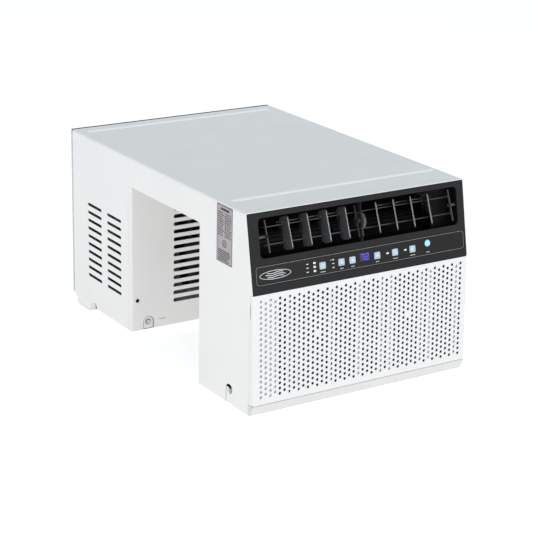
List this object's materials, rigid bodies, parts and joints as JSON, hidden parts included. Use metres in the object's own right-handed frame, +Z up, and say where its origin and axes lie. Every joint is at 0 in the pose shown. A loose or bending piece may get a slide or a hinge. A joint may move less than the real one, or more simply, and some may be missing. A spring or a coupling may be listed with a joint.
{
  "type": "window air conditioner",
  "caption": "Saddle-shaped window air conditioner that straddles a sill: room-side leg with tilting outlet louvres, keypad and drop-down intake grille, thin bridge, and slotted outdoor leg.",
  "frame": {"origin": "floor height, midway between the sides and midway between the foremost and rearmost points", "axes": "+Z up; the room side with the louvres and intake grille faces -Y; +X is to the right for someone in the room"},
  "size_m": [0.48, 0.722, 0.3752],
  "materials": {
    "painted": "white powder coat, semi-gloss",
    "white_plastic": "fine-textured white moulding",
    "black_plastic": "satin charcoal moulding",
    "overlay_film": "smooth black control film",
    "key_cap": "pale blue-grey rubbery keys",
    "power_cap": "light blue round button",
    "display": "violet-blue display lens",
    "dark_plastic": "black moulding",
    "filter_net": "grey woven net",
    "galvanised": "zinc-coated sheet",
    "fin_aluminium": "bare aluminium fins",
    "pipe_foam": "black closed-cell foam sleeve",
    "copper": "bright copper tube",
    "black_steel": "black enamel",
    "board": "green solder mask",
    "capacitor_can": "blue sleeved can",
    "label": "printed grey label stock",
    "screw_steel": "zinc-plated screws"
  },
  "bodies": {
    "case": {"left_side_panel": "painted", "right_side_panel": "painted", "top_cover": "painted", "front_leg_back_wall": "painted", "bridge_plate": "painted", "rear_leg_front_wall": "painted", "front_base_pan": "painted", "rear_base_pan": "painted", "front_housing": "white_plastic", "front_bezel": "black_plastic", "control_overlay": "overlay_film", "display_window": "display", "outlet_duct": "dark_plastic", "blower_scroll": "dark_plastic", "rear_grille": "galvanised", "fan_shroud": "galvanised", "fan_motor": "galvanised", "motor_bracket": "galvanised", "control_box": "galvanised", "evaporator_coil": "fin_aluminium", "condenser_coil": "fin_aluminium", "liquid_pipe": "copper", "discharge_pipe": "copper", "suction_pipe": "pipe_foam", "compressor": "black_steel", "accumulator": "black_steel", "blower_motor": "black_steel", "control_board": "board", "capacitor": "capacitor_can", "rating_label": "label", "screw_front_left": "screw_steel", "screw_rear_left": "screw_steel", "screw_sill_left": "screw_steel", "screw_front_right": "screw_steel", "screw_rear_right": "screw_steel", "screw_sill_right": "screw_steel"},
    "louver_left": {"louver_frame_left": "black_plastic"},
    "louver_right": {"louver_frame_right": "black_plastic"},
    "vane_left_1": {"vane_left_1": "black_plastic"},
    "vane_left_2": {"vane_left_2": "black_plastic"},
    "vane_left_3": {"vane_left_3": "black_plastic"},
    "vane_left_4": {"vane_left_4": "black_plastic"},
    "link_left": {"link_bar_left": "black_plastic"},
    "vane_right_1": {"vane_right_1": "black_plastic"},
    "vane_right_2": {"vane_right_2": "black_plastic"},
    "vane_right_3": {"vane_right_3": "black_plastic"},
    "vane_right_4": {"vane_right_4": "black_plastic"},
    "link_right": {"link_bar_right": "black_plastic"},
    "intake_door": {"intake_grille": "white_plastic", "air_filter": "filter_net"},
    "mode": {"mode_key": "key_cap"},
    "fan": {"fan_key": "key_cap"},
    "up": {"up_key": "key_cap"},
    "down": {"down_key": "key_cap"},
    "timer": {"timer_key": "key_cap"},
    "sleep": {"sleep_key": "key_cap"},
    "power": {"power_button": "power_cap"},
    "blower": {"blower_wheel": "dark_plastic"},
    "fan_rotor": {"condenser_fan": "dark_plastic"}
  },
  "joints": [
    {"name": "louver_tilt_left", "type": "hinge", "parent": "case", "child": "louver_left", "pos_m": [0, -0.32669, 0.32682], "axis": [1, 0, 0], "range_deg": [-18, 30]},
    {"name": "louver_tilt_right", "type": "hinge", "parent": "case", "child": "louver_right", "pos_m": [0, -0.32669, 0.32682], "axis": [1, 0, 0], "range_deg": [-18, 30]},
    {"name": "vane_swing_left_1", "type": "hinge", "parent": "louver_left", "child": "vane_left_1", "pos_m": [-0.1551, -0.31738, 0.32316], "axis": [0, 0.3664, 0.9305], "range_deg": [-45, 23]},
    {"name": "vane_swing_left_2", "type": "hinge", "parent": "louver_left", "child": "vane_left_2", "pos_m": [-0.1139, -0.31738, 0.32316], "axis": [0, 0.3664, 0.9305], "range_deg": [-45, 23]},
    {"name": "vane_swing_left_3", "type": "hinge", "parent": "louver_left", "child": "vane_left_3", "pos_m": [-0.0727, -0.31738, 0.32316], "axis": [0, 0.3664, 0.9305], "range_deg": [-45, 23]},
    {"name": "vane_swing_left_4", "type": "hinge", "parent": "louver_left", "child": "vane_left_4", "pos_m": [-0.0315, -0.31738, 0.32316], "axis": [0, 0.3664, 0.9305], "range_deg": [-45, 23]},
    {"name": "link_pin_left", "type": "hinge", "parent": "vane_left_1", "child": "link_left", "pos_m": [-0.1567, -0.30971, 0.32014], "axis": [0, 0.3664, 0.9305], "range_deg": [-23, 45]},
    {"name": "vane_swing_right_1", "type": "hinge", "parent": "louver_right", "child": "vane_right_1", "pos_m": [0.051, -0.31738, 0.32316], "axis": [0, 0.3664, 0.9305], "range_deg": [0, 68]},
    {"name": "vane_swing_right_2", "type": "hinge", "parent": "louver_right", "child": "vane_right_2", "pos_m": [0.0905, -0.31738, 0.32316], "axis": [0, 0.3664, 0.9305], "range_deg": [0, 68]},
    {"name": "vane_swing_right_3", "type": "hinge", "parent": "louver_right", "child": "vane_right_3", "pos_m": [0.13, -0.31738, 0.32316], "axis": [0, 0.3664, 0.9305], "range_deg": [0, 68]},
    {"name": "vane_swing_right_4", "type": "hinge", "parent": "louver_right", "child": "vane_right_4", "pos_m": [0.1695, -0.31738, 0.32316], "axis": [0, 0.3664, 0.9305], "range_deg": [0, 68]},
    {"name": "link_pin_right", "type": "hinge", "parent": "vane_right_1", "child": "link_right", "pos_m": [0.0557, -0.3109, 0.32061], "axis": [0, 0.3664, 0.9305], "range_deg": [-68, 0]},
    {"name": "intake_door_tilt", "type": "hinge", "parent": "case", "child": "intake_door", "pos_m": [0, -0.359, 0.0246], "axis": [1, 0, 0], "range_deg": [0, 50]},
    {"name": "mode_press", "type": "slide", "parent": "case", "child": "mode", "axis": [0, 0.983, -0.1838], "range_m": [0, 0.0012], "stiffness_N_per_m": 400},
    {"name": "fan_press", "type": "slide", "parent": "case", "child": "fan", "axis": [0, 0.983, -0.1838], "range_m": [0, 0.0012], "stiffness_N_per_m": 400},
    {"name": "up_press", "type": "slide", "parent": "case", "child": "up", "axis": [0, 0.983, -0.1838], "range_m": [0, 0.0012], "stiffness_N_per_m": 400},
    {"name": "down_press", "type": "slide", "parent": "case", "child": "down", "axis": [0, 0.983, -0.1838], "range_m": [0, 0.0012], "stiffness_N_per_m": 400},
    {"name": "timer_press", "type": "slide", "parent": "case", "child": "timer", "axis": [0, 0.983, -0.1838], "range_m": [0, 0.0012], "stiffness_N_per_m": 400},
    {"name": "sleep_press", "type": "slide", "parent": "case", "child": "sleep", "axis": [0, 0.983, -0.1838], "range_m": [0, 0.0012], "stiffness_N_per_m": 400},
    {"name": "power_press", "type": "slide", "parent": "case", "child": "power", "axis": [0, 0.983, -0.1838], "range_m": [0, 0.0012], "stiffness_N_per_m": 400},
    {"name": "blower_spin", "type": "hinge", "parent": "case", "child": "blower", "pos_m": [0, -0.24, 0.252], "axis": [1, 0, 0], "continuous": true},
    {"name": "fan_spin", "type": "hinge", "parent": "case", "child": "fan_rotor", "pos_m": [0.06, 0.3, 0.188], "axis": [0, 1, 0], "continuous": true}
  ],
  "couplings": [
    {"joint": "vane_swing_left_2", "follows": "vane_swing_left_1", "ratio": 1},
    {"joint": "vane_swing_left_3", "follows": "vane_swing_left_1", "ratio": 1},
    {"joint": "vane_swing_left_4", "follows": "vane_swing_left_1", "ratio": 1},
    {"joint": "link_pin_left", "follows": "vane_swing_left_1", "ratio": -1},
    {"joint": "vane_swing_right_2", "follows": "vane_swing_right_1", "ratio": 1},
    {"joint": "vane_swing_right_3", "follows": "vane_swing_right_1", "ratio": 1},
    {"joint": "vane_swing_right_4", "follows": "vane_swing_right_1", "ratio": 1},
    {"joint": "link_pin_right", "follows": "vane_swing_right_1", "ratio": -1}
  ]
}
